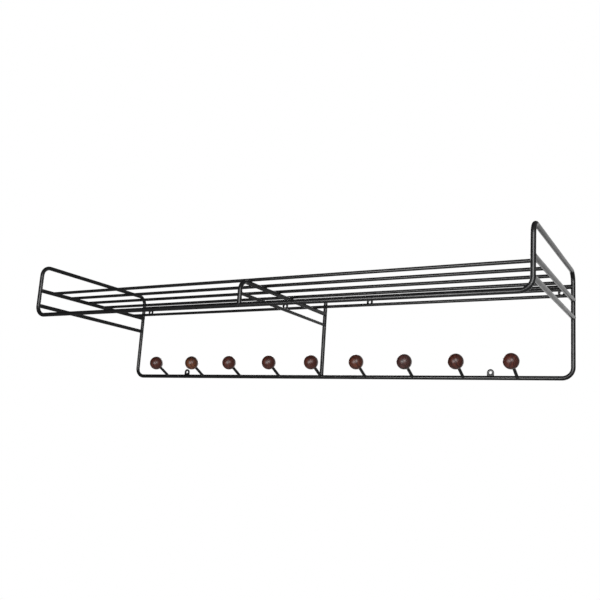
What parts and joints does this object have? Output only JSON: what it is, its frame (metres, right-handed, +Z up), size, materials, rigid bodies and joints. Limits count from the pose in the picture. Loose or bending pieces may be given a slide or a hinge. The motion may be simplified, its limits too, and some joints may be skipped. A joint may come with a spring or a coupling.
{
  "type": "hat rack",
  "caption": "Wall-mounted hat rack of welded round rod: a wire shelf with raised ends over a rail of slanting pegs that end in wooden balls.",
  "frame": {"origin": "on the wall, midway between the two outer upper screw holes", "axes": "+X along the wall to the right as seen from the room, +Y into the wall, +Z up"},
  "size_m": [1, 0.32, 0.197],
  "materials": {
    "black_rod": "satin black powder coat on steel rod",
    "lacquered_wood": "dark red-brown stained hardwood under gloss lacquer"
  },
  "bodies": {
    "root": {"frame_loop": "black_rod", "rear_rail": "black_rod", "middle_post": "black_rod", "middle_bracket": "black_rod", "middle_brace": "black_rod", "upper_side_bar_left": "black_rod", "upper_side_bar_right": "black_rod", "lower_side_bar_left": "black_rod", "lower_side_bar_right": "black_rod", "shelf_wire_1": "black_rod", "shelf_wire_2": "black_rod", "shelf_wire_3": "black_rod", "shelf_wire_4": "black_rod", "shelf_wire_5": "black_rod", "shelf_wire_6": "black_rod", "peg_1": "black_rod", "peg_2": "black_rod", "peg_3": "black_rod", "peg_4": "black_rod", "peg_5": "black_rod", "peg_6": "black_rod", "peg_7": "black_rod", "peg_8": "black_rod", "peg_9": "black_rod", "peg_ball_1": "lacquered_wood", "peg_ball_2": "lacquered_wood", "peg_ball_3": "lacquered_wood", "peg_ball_4": "lacquered_wood", "peg_ball_5": "lacquered_wood", "peg_ball_6": "lacquered_wood", "peg_ball_7": "lacquered_wood", "peg_ball_8": "lacquered_wood", "peg_ball_9": "lacquered_wood", "outer_screw_eye_left": "black_rod", "outer_screw_eye_right": "black_rod", "inner_screw_eye_left": "black_rod", "inner_screw_eye_right": "black_rod", "lower_screw_eye_left": "black_rod", "lower_screw_eye_right": "black_rod"}
  },
  "joints": []
}
